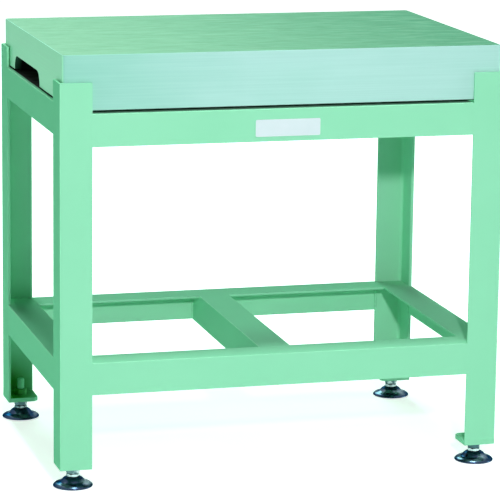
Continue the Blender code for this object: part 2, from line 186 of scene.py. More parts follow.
def highlight_enamel(name, darker_tone, lighter_tone):
    """The same enamel, mixed at random from a darker to a lighter tone, as a painted highlight."""
    material, nodes, links, shader, place = new_finish(name, lighter_tone, 0.3, gloss=0.02)
    tone_mix = spread(nodes, links, noise(nodes, links, place, 24, 4), 0, 1, 0.35, 0.6)
    links.new(tint(nodes, links, tone_mix, darker_tone, lighter_tone), shader.inputs["Base Color"])
    sheen = spread(nodes, links, noise(nodes, links, place, 60), 0.24, 0.4)
    links.new(sheen, shader.inputs["Roughness"])
    return material


def carve(shape, tool, operation="DIFFERENCE"):
    """Cuts one shape with another, or joins them, and returns the result."""
    blanks = []
    for part in (shape, tool):
        bmesh.ops.recalc_face_normals(part, faces=part.faces)
        mesh = bpy.data.meshes.new("blank")
        part.to_mesh(mesh)
        part.free()
        blank = bpy.data.objects.new("blank", mesh)
        bpy.context.collection.objects.link(blank)
        blanks.append(blank)
    change = blanks[0].modifiers.new("carve", "BOOLEAN")
    change.operation = operation
    change.solver = "EXACT"
    change.object = blanks[1]
    graph = bpy.context.evaluated_depsgraph_get()
    mesh = bpy.data.meshes.new_from_object(blanks[0].evaluated_get(graph))
    result = bmesh.new()
    result.from_mesh(mesh)
    for blank in blanks:
        bpy.data.objects.remove(blank)
    bpy.data.meshes.remove(mesh)
    return result


def add_piece(name, shape, finish, body, slot, *nodes):
    """Puts a finished shape in the scene, in place of the nodes named, riding on a body."""
    bmesh.ops.remove_doubles(shape, verts=shape.verts, dist=SAME_POINT)
    bmesh.ops.recalc_face_normals(shape, faces=shape.faces)
    mesh = bpy.data.meshes.new(name)
    shape.to_mesh(mesh)
    shape.free()
    mesh.shade_smooth()
    mesh.set_sharp_from_angle(angle=CREASE)
    for material in finish if isinstance(finish, tuple) else (finish,):
        mesh.materials.append(material)
    piece = bpy.data.objects.new(name, mesh)
    bpy.context.collection.objects.link(piece)
    weighting = piece.modifiers.new("even_faces", "WEIGHTED_NORMAL")
    weighting.keep_sharp = True
    weighting.weight = 100
    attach(piece, body)
    if nodes:
        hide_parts(*nodes)


def move(shape, place):
    """Moves a whole shape."""
    bmesh.ops.translate(shape, vec=place, verts=shape.verts)
    return shape


def upright_edges(shape, x, y):
    """The edges of a shape that stand over a point."""
    return [
        edge
        for edge in shape.edges
        if all(math.hypot(v.co.x - x, v.co.y - y) < SAME_POINT for v in edge.verts)
    ]


def level_edges(shape):
    """The edges of a shape that lie level."""
    return [e for e in shape.edges if abs(e.verts[0].co.z - e.verts[1].co.z) < SEAM]


def soften(shape, edges, radius, segments, clamp=False):
    """Rounds some edges of a shape."""
    bmesh.ops.bevel(
        shape,
        geom=edges,
        offset=radius,
        affect="EDGES",
        segments=segments,
        profile=0.5,
        material=-1,
        clamp_overlap=clamp,
    )


def raise_outline(outline, height):
    """A flat outline raised along +Z."""
    shape = bmesh.new()
    face = shape.faces.new([shape.verts.new((x, y, 0)) for x, y in outline])
    raised = bmesh.ops.extrude_face_region(shape, geom=[face])["geom"]
    top = [item for item in raised if isinstance(item, bmesh.types.BMVert)]
    bmesh.ops.translate(shape, vec=Z * height, verts=top)
    bmesh.ops.recalc_face_normals(shape, faces=shape.faces)
    return shape


def angle_length(length, grow):
    """A length of angle along +Z, with its heel at the origin. A grown one cuts room for it."""
    tip, wall = ANGLE_WIDTH + grow, ANGLE_WALL + grow
    corners = [(-grow, -grow), (tip, -grow), (tip, wall), (wall, wall), (wall, tip), (-grow, tip)]
    shape = raise_outline(corners, length)
    soften(shape, upright_edges(shape, wall, wall), ANGLE_ROOT - grow, 8)
    soften(shape, upright_edges(shape, tip, wall), ANGLE_TOE + grow, 6)
    soften(shape, upright_edges(shape, wall, tip), ANGLE_TOE + grow, 6)
    soften(shape, upright_edges(shape, -grow, -grow), ANGLE_HEEL, 4)
    if not grow:
        soften(shape, level_edges(shape), SAWN_EDGE, 2)
    return shape


def heel_start(node, first, second):
    """The corner of a node's box where the heel of its bar begins."""
    low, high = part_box(node)
    heading = first + second + first.cross(second)
    return Vector([low[i] if heading[i] > 0 else high[i] for i in range(3)])


def angle_bar(node, first, second, grow=0.0):
    """The length of angle that fills a node's box, with its legs along two directions."""
    low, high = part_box(node)
    shape = angle_length(abs((high - low).dot(first.cross(second))), grow)
    turn = Matrix((first, second, first.cross(second))).transposed()
    bmesh.ops.transform(shape, matrix=turn.to_4x4(), verts=shape.verts)
    return move(shape, heel_start(node, first, second))


def add_bar(node, shape, first, second):
    """Puts a bar in the scene, with a painted highlight on its heel."""
    start = heel_start(node, first, second)
    for face in shape.faces:
        away = face.calc_center_median() - start
        if max(away.dot(first), away.dot(second)) < ANGLE_HEEL:
            face.material_index = 1
    add_piece(node + "_bar", shape, (paint, heel_highlight_paint), "frame", "mint_paint", node)


paint = mint_paint()
# The bars' heels take a lighter enamel, as a painted highlight along the edge.
heel_highlight_paint = highlight_enamel("mint_enamel_painted_highlight", MINT_FADED, MINT_PAINTED_HIGHLIGHT)
LEGS = {
    "leg_front_left": (X, Y),
    "leg_front_right": (Y, -X),
    "leg_rear_right": (-X, -Y),
    "leg_rear_left": (-Y, X),
}
for node, (first, second) in LEGS.items():
    add_bar(node, angle_bar(node, first, second), first, second)

# The rails are the same angle, butted between the legs with the flange on top, and welded.
# The left and right top rails sit 18 mm higher than the others, because the plate rests on them.
RAILS = {
    "front_top_rail": (-Z, Y),
    "rear_top_rail": (-Y, -Z),
    "left_top_rail": (X, -Z),
    "right_top_rail": (-Z, -X),
    "front_lower_rail": (-Z, Y),
    "rear_lower_rail": (-Y, -Z),
}
for node, (first, second) in RAILS.items():
    add_bar(node, angle_bar(node, first, second), first, second)

# The plate lies on the flanges of the left and right top rails. There the flanges are painted nearly
# black, as painted shade under the plate. It starts 7 mm in, at the plate's edge.
SEAT_SHADE = (0.006, 0.009, 0.007, 1)
SEAT_SHADE_LIGHTER = (0.014, 0.020, 0.015, 1)
SEAT_SHADE_START = 0.0072


def seat_shade_finish():
    """Painted shade, nearly black, a little lighter at random in places."""
    material, nodes, links, shader, place = new_finish("painted_seat_shade", SEAT_SHADE, 0.6, gloss=0.05)
    blotches = spread(nodes, links, noise(nodes, links, place, 60, 4), 0, 1)
    links.new(tint(nodes, links, blotches, SEAT_SHADE, SEAT_SHADE_LIGHTER), shader.inputs["Base Color"])
    sheen = spread(nodes, links, noise(nodes, links, place, 35), 0.5, 0.75)
    links.new(sheen, shader.inputs["Roughness"])
    return material


seat_shade_paint = seat_shade_finish()
for node in ("left_top_rail", "right_top_rail"):
    rail = bpy.data.objects[node + "_bar"].data
    rail.materials.append(seat_shade_paint)
    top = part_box(node)[1].z
    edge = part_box("leg_front_right")[1].x - SEAT_SHADE_START
    cut = bmesh.new()
    cut.from_mesh(rail)
    bmesh.ops.bisect_plane(
        cut,
        geom=cut.verts[:] + cut.edges[:] + cut.faces[:],
        plane_co=(math.copysign(edge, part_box(node)[0].x), 0, 0),
        plane_no=X,
    )
    # Painted shade: the flange's top under the plate takes the nearly black finish.
    for face in cut.faces:
        centre = face.calc_center_median()
        if centre.z > top - SEAM and abs(centre.x) < edge:
            face.material_index = 2
    cut.to_mesh(rail)
    cut.free()

# The lower side rails run on into the corners of the legs, so their ends are coped round them.
# The cross bar's web is notched to pass below the long rails' flanges, and welds to their webs.
COPED_BARS = {
    "left_lower_rail": (X, -Z, ("leg_front_left", "leg_rear_left")),
    "right_lower_rail": (-Z, -X, ("leg_front_right", "leg_rear_right")),
    "lower_cross_bar": (X, -Z, ("front_lower_rail", "rear_lower_rail")),
}
plain_bars = LEGS | RAILS
for node, (first, second, crossed) in COPED_BARS.items():
    bar = angle_bar(node, first, second)
    for other in crossed:
        bar = carve(bar, angle_bar(other, *plain_bars[other], SEAM))
    add_bar(node, bar, first, second)

# A square plate of 10 mm steel closes each leg at the foot, with its inner corner cut off.
# A nut is welded on top of it, and takes the thread of the levelling stud.
FEET = ("front_left", "front_right", "rear_left", "rear_right")
FOOT_PLATE_EDGE = 0.0008
FOOT_PLATE_CORNER = 0.008
NUT_ACROSS_FLATS = 0.024
NUT_FACE = 0.0225
NUT_CHAMFER = math.radians(30)
BORE = 0.01612
COUNTERSINK = 0.0007


def turned(profile, steps):
    """Turns a profile of radius and height round the Z axis. A closed one starts and ends on it."""
    shape = bmesh.new()
    row = [shape.verts.new((radius, 0, height)) for radius, height in profile]
    edges = [shape.edges.new(pair) for pair in zip(row, row[1:])]
    bmesh.ops.spin(
        shape,
        geom=row + edges,
        axis=Z,
        cent=(0, 0, 0),
        angle=2 * math.pi,
        steps=steps,
        use_merge=True,
    )
    bmesh.ops.remove_doubles(shape, verts=shape.verts, dist=SAME_POINT)
    bmesh.ops.recalc_face_normals(shape, faces=shape.faces)
    return shape


def hexagon(across_flats, height):
    """A hexagon bar that stands on the origin, with a flat towards +Y."""
    shape = bmesh.new()
    radius = across_flats / math.sqrt(3)
    bmesh.ops.create_cone(
        shape, cap_ends=True, segments=6, radius1=radius, radius2=radius, depth=height
    )
    bmesh.ops.rotate(shape, matrix=Matrix.Rotation(math.pi / 6, 3, "Z"), verts=shape.verts)
    return move(shape, Z * height / 2)


def hexagon_with_chamfers(height):
    """A hexagon with its corners turned off at both ends, as a nut is."""
    corner = NUT_ACROSS_FLATS / math.sqrt(3) + SEAM
    face = NUT_FACE / 2
    drop = (corner - face) * math.tan(NUT_CHAMFER)
    profile = [(0, 0), (face, 0), (corner, drop)]
    profile += [(corner, height - drop), (face, height), (0, height)]
    return carve(hexagon(NUT_ACROSS_FLATS, height), turned(profile, 72), "INTERSECT")


def nut(height):
    """A nut with both ends chamfered and its bore countersunk."""
    bore = BORE / 2
    mouth = bore + COUNTERSINK + COUNTERSINK
    profile = [(0, -COUNTERSINK), (mouth, -COUNTERSINK), (bore, COUNTERSINK)]
    profile += [(bore, height - COUNTERSINK), (mouth, height + COUNTERSINK)]
    profile += [(0, height + COUNTERSINK)]
    return carve(hexagon_with_chamfers(height), turned(profile, 48))


for foot in FEET:
    node = "foot_plate_" + foot
    low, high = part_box(node)
    middle = (low + high) / 2
    thickness = high.z - low.z
    inward = Vector((-math.copysign(1, middle.x), -math.copysign(1, middle.y), 0))
    half = (high.x - low.x) / 2
    cut = half - FOOT_PLATE_CORNER
    outline = [(-half, -half), (half, -half), (half, cut), (cut, half), (-half, half)]
    plate = raise_outline([(inward.x * x, inward.y * y) for x, y in outline], thickness)
    soften(plate, level_edges(plate), FOOT_PLATE_EDGE, 3)
    hole = [(0, -SEAM), (BORE / 2, -SEAM), (BORE / 2, thickness + SEAM), (0, thickness + SEAM)]
    plate = move(carve(plate, turned(hole, 48)), (middle.x, middle.y, low.z))
    add_piece(node + "_steel", plate, paint, "frame", "mint_paint", node)

    node = "foot_weld_nut_" + foot
    low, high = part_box(node)
    welded = move(nut(high.z - low.z), (middle.x, middle.y, low.z))
    add_piece(node + "_steel", welded, paint, "frame", "mint_paint", node)

# The welds are beads inside the corners, left as they were laid, and fills on the outside, which
# are ground nearly flush. The same paint covers them.
BEAD = 0.0034
BEAD_RIPPLE = 0.0004
BEAD_STEP = 0.0011
BEAD_END = 0.45
BEAD_SHOULDER = 0.75
BEAD_IN_FLANGE = 0.0002
BEAD_ON_PLATE = 1.15
BEAD_AT_NUT = 0.8
BEAD_BEND = 0.35
NUT_GAP = 0.0004
NUT_BEAD_REACH = 1.13
FILL_WIDTH = 0.0056
FILL_DEPTH = 0.0030
FILL_PROUD = 0.00012
FILL_ROUNDING = 0.9
FILL_SHORT_BY = 0.002


def bead(start, stop, radius=BEAD):
    """A round bead along a line, with a ripple each time the molten pool froze."""
    start, stop = Vector(start), Vector(stop)
    run = stop - start
    steps = max(4, round(run.length / BEAD_STEP))
    reached = radius * BEAD_END
    shape = bmesh.new()
    bmesh.ops.create_circle(shape, cap_ends=True, segments=12, radius=reached)
    turn = Z.rotation_difference(run).to_matrix()
    bmesh.ops.rotate(shape, matrix=turn, verts=shape.verts)
    move(shape, start)
    cap = list(shape.faces)
    for step in range(1, steps + 1):
        cap = bmesh.ops.extrude_face_region(shape, geom=cap)["geom"]
        ring = [item for item in cap if isinstance(item, bmesh.types.BMVert)]
        cap = [item for item in cap if isinstance(item, bmesh.types.BMFace)]
        bmesh.ops.translate(shape, vec=run / steps, verts=ring)
        wanted = radius - BEAD_RIPPLE * (step % 3)
        if step in (1, steps - 1):
            wanted = radius * BEAD_SHOULDER
        elif step == steps:
            wanted = radius * BEAD_END
        centre = start + run * step / steps
        size = Vector((1, 1, 1)) * (wanted / reached)
        bmesh.ops.scale(shape, vec=size, verts=ring, space=Matrix.Translation(-centre))
        reached = wanted
    across = [face for face in shape.faces if len(face.verts) > 4]
    bmesh.ops.delete(shape, geom=across, context="FACES_ONLY")
    bmesh.ops.holes_fill(shape, edges=shape.edges, sides=0)
    return shape


def join(shapes):
    """Gathers several shapes in one mesh."""
    whole = bmesh.new()
    for shape in shapes:
        mesh = bpy.data.meshes.new("part")
        shape.to_mesh(mesh)
        shape.free()
        whole.from_mesh(mesh)
        bpy.data.meshes.remove(mesh)
    return whole


def cuboid(middle, size):
    """A block of a size, round a middle point."""
    shape = bmesh.new()
    bmesh.ops.create_cube(shape, size=1)
    bmesh.ops.scale(shape, vec=size, verts=shape.verts)
    return move(shape, middle)


def ground_fill(middle, size):
    """A weld ground to a low pad, a little proud of the steel on either side."""
    shape = cuboid(middle, size)
    soften(shape, shape.edges[:], FILL_PROUD * FILL_ROUNDING, 2)
    return shape


fills, beads = [], []
outer_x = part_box("leg_front_right")[1].x
outer_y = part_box("leg_rear_left")[1].y
toe_x, toe_y = outer_x - ANGLE_WIDTH, outer_y - ANGLE_WIDTH
inner_x, inner_y = outer_x - ANGLE_WALL, outer_y - ANGLE_WALL
sink = FILL_DEPTH / 2 - FILL_PROUD
CORNERS = [(side, end) for side in (-1, 1) for end in (-1, 1)]
for node in ("front_top_rail", "front_lower_rail", "left_top_rail", "left_lower_rail"):
    low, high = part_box(node)
    height = (low.z + high.z) / 2
    span = ANGLE_WIDTH - 2 * SAWN_EDGE
    for side, end in CORNERS:
        if node.startswith("front"):
            at = (side * toe_x, end * (outer_y - sink), height)
            size = (FILL_WIDTH, FILL_DEPTH, span)
            root = (side * toe_x, end * inner_y)
        else:
            at = (side * (outer_x - sink), end * toe_y, height)
            size = (FILL_DEPTH, FILL_WIDTH, span)
            root = (side * inner_x, end * toe_y)
        fills.append(ground_fill(at, size))
        beads.append(bead((*root, low.z + BEAD), (*root, high.z - ANGLE_WALL - BEAD)))
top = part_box("front_lower_rail")[1].z
below = top - ANGLE_WALL - BEAD_IN_FLANGE
for side, end in CORNERS:
    at = (side * toe_x, end * (inner_y + toe_y) / 2, top - sink)
    fills.append(ground_fill(at, (FILL_WIDTH, ANGLE_WIDTH - ANGLE_WALL - FILL_SHORT_BY, FILL_DEPTH)))
    start = (side * (toe_x + ANGLE_TOE), end * inner_y, below)
    beads.append(bead(start, (side * (inner_x - ANGLE_ROOT), end * inner_y, below)))
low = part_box("lower_cross_bar")[0]
for end in (-1, 1):
    at = (0, end * toe_y, top - sink)
    fills.append(ground_fill(at, (ANGLE_WIDTH - FILL_SHORT_BY, FILL_WIDTH, FILL_DEPTH)))
    root = (low.x, end * inner_y)
    beads.append(bead((*root, low.z + BEAD), (*root, top - ANGLE_WALL - BEAD)))
for foot in FEET:
    low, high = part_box("foot_plate_" + foot)
    middle = (low + high) / 2
    side, end = math.copysign(1, middle.x), math.copysign(1, middle.y)
    level = high.z + SEAM
    bend = ANGLE_ROOT * BEAD_BEND
    first = (side * (toe_x + ANGLE_TOE), end * inner_y, level)
    corner = (side * (inner_x - bend), end * (inner_y - bend), level)
    second = (side * inner_x, end * (toe_y + ANGLE_TOE), level)
    beads.append(bead(first, corner, BEAD * BEAD_ON_PLATE))
    beads.append(bead(corner, second, BEAD * BEAD_ON_PLATE))
    span = ANGLE_WIDTH - 2 * ANGLE_HEEL
    at = (middle.x, end * (outer_y - sink), level)
    fills.append(ground_fill(at, (span, FILL_DEPTH, FILL_WIDTH)))
    at = (side * (outer_x - sink), middle.y, level)
    fills.append(ground_fill(at, (FILL_DEPTH, span, FILL_WIDTH)))
    ring = NUT_BEAD_REACH * (NUT_ACROSS_FLATS / 2 + NUT_GAP)
    turns = [math.radians(60 * n + 30) for n in range(6)]
    points = [(middle.x + ring * math.cos(t), middle.y + ring * math.sin(t), level) for t in turns]
    for start, stop in zip(points[::2], points[1::2]):
        beads.append(bead(start, stop, BEAD * BEAD_AT_NUT))
add_piece("ground_welds", join(fills), paint, "frame", "mint_paint")
add_piece("laid_welds", join(beads), paint, "frame", "mint_paint")

# The surface plate is a grey-iron casting 900 by 600 by 110 mm, ribbed and open below.
# Its sides are milled, its long edges chamfered, and its top is scraped flat by hand. A hand hole
# in each end lets two people lift it. Below it is left as cast, in near-black primer, partly painted
# shade.
PLATE_WALL = 0.014
PLATE_TOP = 0.020
RIB = 0.012
RIB_DEPTH = 0.037
PLATE_CORNER = 0.007
PLATE_CHAMFER = 0.0015
POCKET_START = 0.002
POCKET_CORNER = 0.010
POCKET_FILLET = 0.007
END_RELIEF = 0.017
END_RELIEF_CORNER = 0.004
END_FOOT = 0.053
REST_GAP = 0.0037
REST_PAD = 0.036
REST_PAD_PLACE = 0.218
REST_PAD_CORNER = 0.005
REST_PAD_IN_WALL = 0.004
REST_PAD_BELOW_TOP = 0.008
HOLE_LENGTH = 0.262
HOLE_BOTTOM = 0.004
HOLE_TOP = 0.047
HOLE_CORNER = 0.026
HOLE_OFFSET = 0.058
CUT_PAST = 0.01
CAST_EDGE = 0.0012
SHORTEST_EDGE = 0.004
SHARP_EDGE = math.radians(60)
NEARLY_FLAT = math.radians(0.5)
SIDES, TOP, BELOW, ENDS = range(4)
IRON_MILLED = (0.413, 0.705, 0.641, 1)
IRON_MILLED_SHADED = (0.243, 0.600, 0.468, 1)
IRON_END = (0.445, 0.850, 0.615, 1)
IRON_END_SHADED = (0.410, 0.825, 0.580, 1)
TOOL_LINE_SHADE = (0.93, 0.96, 0.955, 1)
TOOL_LINE_DEPTH = 0.0001
TOOL_LINE_SIZE = (5, 5, 500)
SHADE_CLOUD_SIZE = (4, 4, 9)
IRON_SCRAPED_LIT_LEFT = (0.226, 0.496, 0.318, 1)
IRON_SCRAPED_SHADED_RIGHT = (0.089, 0.334, 0.198, 1)
IRON_STREAK = (0.262, 0.546, 0.366, 1)
STROKE_SHADE = (0.74, 0.82, 0.77, 1)
STROKE_DEPTH = 0.0003
STROKE_SIZE = (60, 300, 1)
STROKE_TURNS = (math.radians(38), math.radians(-33))
STROKE_PATCHES = 30
MOTTLE_SIZE = (16, 48, 1)
WIPE_SIZE = (11, 75, 1)
WIPE_TURN = 0.42
PRIMER_AND_SHADE = (0.006, 0.014, 0.010, 1)
PRIMER_LIT_AT_HOLES = (0.030, 0.095, 0.060, 1)
LIT_FROM = 0.434
LIT_TO = 0.446
SAND_DEPTH = 0.0008


def stretched(nodes, links, place, size, turn=0.0):
    """Coordinates scaled by axis, and turned about Z, for marks that run one way."""
    mapping = nodes.new("ShaderNodeMapping")
    mapping.inputs["Scale"].default_value = size
    mapping.inputs["Rotation"].default_value = (0, 0, turn)
    links.new(place, mapping.inputs["Vector"])
    return mapping.outputs["Vector"]


def darkened(nodes, links, colour, shade):
    """A colour multiplied by a shade."""
    blend = nodes.new("ShaderNodeMix")
    blend.data_type = "RGBA"
    blend.blend_type = "MULTIPLY"
    blend.inputs[0].default_value = 1
    blend.inputs[7].default_value = shade
    links.new(colour, blend.inputs[6])
    return blend.outputs[2]


def scraped_iron():
    """Hand-scraped iron, oiled: short crossing strokes, and long soft streaks from wiping."""
    material, nodes, links, shader, place = new_finish(
        "scraped_iron", IRON_SCRAPED_LIT_LEFT, 0.42, gloss=0.01, metallic=0.03
    )
    first, second = [
        noise(nodes, links, stretched(nodes, links, place, STROKE_SIZE, turn), 1, 2)
        for turn in STROKE_TURNS
    ]
    patches = nodes.new("ShaderNodeTexVoronoi")
    patches.inputs["Scale"].default_value = STROKE_PATCHES
    links.new(place, patches.inputs["Vector"])
    chosen = spread(nodes, links, patches.outputs["Color"], 0, 1, 0.45, 0.55)
    crossing = nodes.new("ShaderNodeMix")
    for value, socket in zip((chosen, first, second), (0, 2, 3)):
        links.new(value, crossing.inputs[socket])
    strokes = crossing.outputs[0]
    # Painted light: the top is lighter at the left and darker at the right.
    along = spread(nodes, links, by_axis(nodes, links, place)["X"], 0, 1, -0.40, 0.46)
    ground = tint(nodes, links, along, IRON_SCRAPED_LIT_LEFT, IRON_SCRAPED_SHADED_RIGHT)
    mottle = noise(nodes, links, stretched(nodes, links, place, MOTTLE_SIZE), 1, 4, 0.7)
    mottled = spread(nodes, links, mottle, 0, 1, 0.36, 0.58)
    deep = spread(nodes, links, strokes, 0, 1, 0.32, 0.62)
    marks = combine(nodes, links, "MULTIPLY", deep, mottled)
    worked = tint(nodes, links, marks, darkened(nodes, links, ground, STROKE_SHADE), ground)
    wipes = noise(nodes, links, stretched(nodes, links, place, WIPE_SIZE, WIPE_TURN), 1, 4, 0.7)
    streaks = spread(nodes, links, wipes, 0, 0.6, 0.48, 0.74)
    links.new(tint(nodes, links, streaks, worked, IRON_STREAK), shader.inputs["Base Color"])
    links.new(spread(nodes, links, strokes, 0.38, 0.55), shader.inputs["Roughness"])
    relief(nodes, links, shader, strokes, STROKE_DEPTH, 0.3)
    return material


def milled_iron(name, lit_tone, shaded_tone, start, stop, shine):
    """Milled sides: fine level tool lines, and painted shade that fades, with some cloud, towards one
    end.
    """
    material, nodes, links, shader, place = new_finish(
        name, lit_tone, 0.4, gloss=0.02, metallic=shine
    )
    along = spread(nodes, links, by_axis(nodes, links, place)["X"], 0, 0.8, start, stop)
    cloud = noise(nodes, links, stretched(nodes, links, place, SHADE_CLOUD_SIZE), 1, 3)
    lit_share = combine(nodes, links, "ADD", along, spread(nodes, links, cloud, 0, 0.3))
    tone = tint(nodes, links, lit_share, shaded_tone, lit_tone)
    lines = noise(nodes, links, stretched(nodes, links, place, TOOL_LINE_SIZE), 1, 3)
    marks = spread(nodes, links, lines, 0, 1, 0.38, 0.66)
    lined = tint(nodes, links, marks, darkened(nodes, links, tone, TOOL_LINE_SHADE), tone)
    links.new(lined, shader.inputs["Base Color"])
    links.new(spread(nodes, links, lines, 0.34, 0.48), shader.inputs["Roughness"])
    relief(nodes, links, shader, lines, TOOL_LINE_DEPTH, 0.3)
    return material


def cast_primer():
    """Sand-cast iron under a nearly black primer, partly painted shade, and lighter at the hand holes,
    as painted light.
    """
    material, nodes, links, shader, place = new_finish("cast_primer", PRIMER_AND_SHADE, 0.6, gloss=0.1)
    out = nodes.new("ShaderNodeMath")
    out.operation = "ABSOLUTE"
    links.new(by_axis(nodes, links, place)["X"], out.inputs[0])
    lit_at_holes = spread(nodes, links, out.outputs[0], 0, 1, LIT_FROM, LIT_TO)
    links.new(tint(nodes, links, lit_at_holes, PRIMER_AND_SHADE, PRIMER_LIT_AT_HOLES), shader.inputs["Base Color"])
    grain = noise(nodes, links, place, 260, 4, 0.6)
    links.new(spread(nodes, links, grain, 0.5, 0.7), shader.inputs["Roughness"])
    relief(nodes, links, shader, grain, SAND_DEPTH, 0.6)
    return material


def block(low, high):
    """A cutting or filling block between two corners."""
    low, high = Vector(low), Vector(high)
    return cuboid((low + high) / 2, high - low)


def edges_along(shape, axis):
    """The edges of a block that run along an axis."""
    return [
        e for e in shape.edges if abs((e.verts[0].co - e.verts[1].co).normalized().dot(axis)) > 0.999
    ]


low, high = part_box("surface_plate")
height = high.z - low.z
half_x, half_y = high.x, high.y
casting = block((-half_x, -half_y, 0), (half_x, half_y, height))
soften(casting, edges_along(casting, Z), PLATE_CORNER, 8)
soften(casting, level_edges(casting), PLATE_CHAMFER, 2)

wall_x, wall_y = half_x - PLATE_WALL, half_y - PLATE_WALL
rib_bottom = height - PLATE_TOP - RIB_DEPTH
hollow = block((-wall_x, -wall_y, -CUT_PAST), (wall_x, wall_y, rib_bottom))
rib_places = (-half_x / 3, half_x / 3)
starts = [-wall_x] + [x + RIB / 2 for x in rib_places]
stops = [x - RIB / 2 for x in rib_places] + [wall_x]
for start, stop in zip(starts, stops):
    for front, back in ((-wall_y, -RIB / 2), (RIB / 2, wall_y)):
        pocket = block((start, front, POCKET_START), (stop, back, height - PLATE_TOP))
        soften(pocket, edges_along(pocket, Z), POCKET_CORNER, 6)
        ceiling = [e for e in pocket.edges if all(v.co.z > rib_bottom for v in e.verts)]
        soften(pocket, ceiling, POCKET_FILLET, 5)
        hollow = carve(hollow, pocket, "UNION")
casting = carve(casting, hollow)
for side in (-1, 1):
    for end in (-1, 1):
        front, back = end * REST_PAD_PLACE - REST_PAD / 2, end * REST_PAD_PLACE + REST_PAD / 2
        stand = block(
            (side * (wall_x + REST_PAD_IN_WALL), front, END_RELIEF - REST_GAP),
            (side * (wall_x - REST_PAD), back, height - REST_PAD_BELOW_TOP),
        )
        bmesh.ops.recalc_face_normals(stand, faces=stand.faces)
        soften(stand, edges_along(stand, Z), REST_PAD_CORNER, 5)
        casting = carve(casting, stand, "UNION")
    near, far = sorted((side * (half_x + CUT_PAST), side * (wall_x - SEAM)))
    relieved = block((near, -half_y + END_FOOT, -CUT_PAST), (far, half_y - END_FOOT, END_RELIEF))
    shoulders = [e for e in edges_along(relieved, X) if e.verts[0].co.z > 0]
    soften(relieved, shoulders, END_RELIEF_CORNER, 5)
    casting = carve(casting, relieved)
    front, back = HOLE_OFFSET - HOLE_LENGTH / 2, HOLE_OFFSET + HOLE_LENGTH / 2
    hand_hole = block((near, front, HOLE_BOTTOM), (far, back, HOLE_TOP))
    shoulders = [e for e in edges_along(hand_hole, X) if e.verts[0].co.z > HOLE_TOP / 2]
    soften(hand_hole, shoulders, HOLE_CORNER, 12)
    casting = carve(casting, hand_hole)
bmesh.ops.remove_doubles(casting, verts=casting.verts, dist=2 * SAME_POINT)
bmesh.ops.dissolve_limit(
    casting, angle_limit=NEARLY_FLAT, verts=casting.verts, edges=casting.edges
)
sharp = [
    e
    for e in casting.edges
    if len(e.link_faces) == 2
    and e.calc_face_angle() > SHARP_EDGE
    and e.calc_length() > SHORTEST_EDGE
]
soften(casting, sharp, CAST_EDGE, 2, clamp=True)
for face in casting.faces:
    centre = face.calc_center_median()
    at_end = abs(centre.x) > half_x - PLATE_CORNER and abs(face.normal.x) > 0.75
    at_side = abs(centre.y) > half_y - PLATE_CORNER - SEAM and abs(face.normal.y) > 0.3
    # The lowest bevel of the long sides takes the dark primer, as painted shade along the plate's
    # foot.
    at_side = at_side and centre.z > CAST_EDGE
    at_rim = centre.z > height - PLATE_CHAMFER and face.normal.z > 0.3
    if face.normal.z > 0.99 and centre.z > height - 10 * SAME_POINT:
        face.material_index = TOP
    elif at_end:
        face.material_index = ENDS
    elif at_side or at_rim:
        face.material_index = SIDES
    else:
        face.material_index = BELOW
move(casting, Z * low.z)
# Painted shade on the milled iron: darker to the left, lighter to the right.
sides = milled_iron("milled_iron", IRON_MILLED, IRON_MILLED_SHADED, -0.46, -0.08, 0.04)
# The ends take a brighter, greener copy of the milled iron, as painted light.
ends = milled_iron("milled_iron_ends", IRON_END, IRON_END_SHADED, -0.46, 0.46, 0.12)
finishes = (sides, scraped_iron(), cast_primer(), ends)
add_piece("plate_casting", casting, finishes, "surface_plate", "scraped_iron", "surface_plate")

# The label is a thin blank plate of sheet metal with rounded corners, enamelled white, and stuck
# to the middle of the front top rail.
LABEL_CORNER = 0.003
LABEL_EDGE = 0.4
LABEL_WHITE = (0.605, 0.740, 0.755, 1)
LABEL_HAZE = (0.635, 0.760, 0.780, 1)


def label_enamel():
    """White enamel, very slightly clouded."""
    material, nodes, links, shader, place = new_finish("label_enamel", LABEL_WHITE, 0.3, gloss=0.25)
    lighter_patches = spread(nodes, links, noise(nodes, links, place, 30), 0, 1)
    links.new(tint(nodes, links, lighter_patches, LABEL_WHITE, LABEL_HAZE), shader.inputs["Base Color"])
    sheen = spread(nodes, links, noise(nodes, links, place, 60), 0.28, 0.36)
    links.new(sheen, shader.inputs["Roughness"])
    return material


low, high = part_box("label_plate")
size = high - low
sheet = block((-size.x / 2, -size.z / 2, 0), (size.x / 2, size.z / 2, size.y))
soften(sheet, edges_along(sheet, Z), LABEL_CORNER, 6)
rims = [e for e in sheet.edges if all(v.co.z > size.y / 2 for v in e.verts)]
soften(sheet, rims, size.y * LABEL_EDGE, 2)
bmesh.ops.rotate(sheet, matrix=Matrix.Rotation(math.pi / 2, 3, "X"), verts=sheet.verts)
move(sheet, ((low.x + high.x) / 2, high.y, (low.z + high.z) / 2))
add_piece("label_sheet", sheet, label_enamel(), "frame", "blank_label", "label_plate")

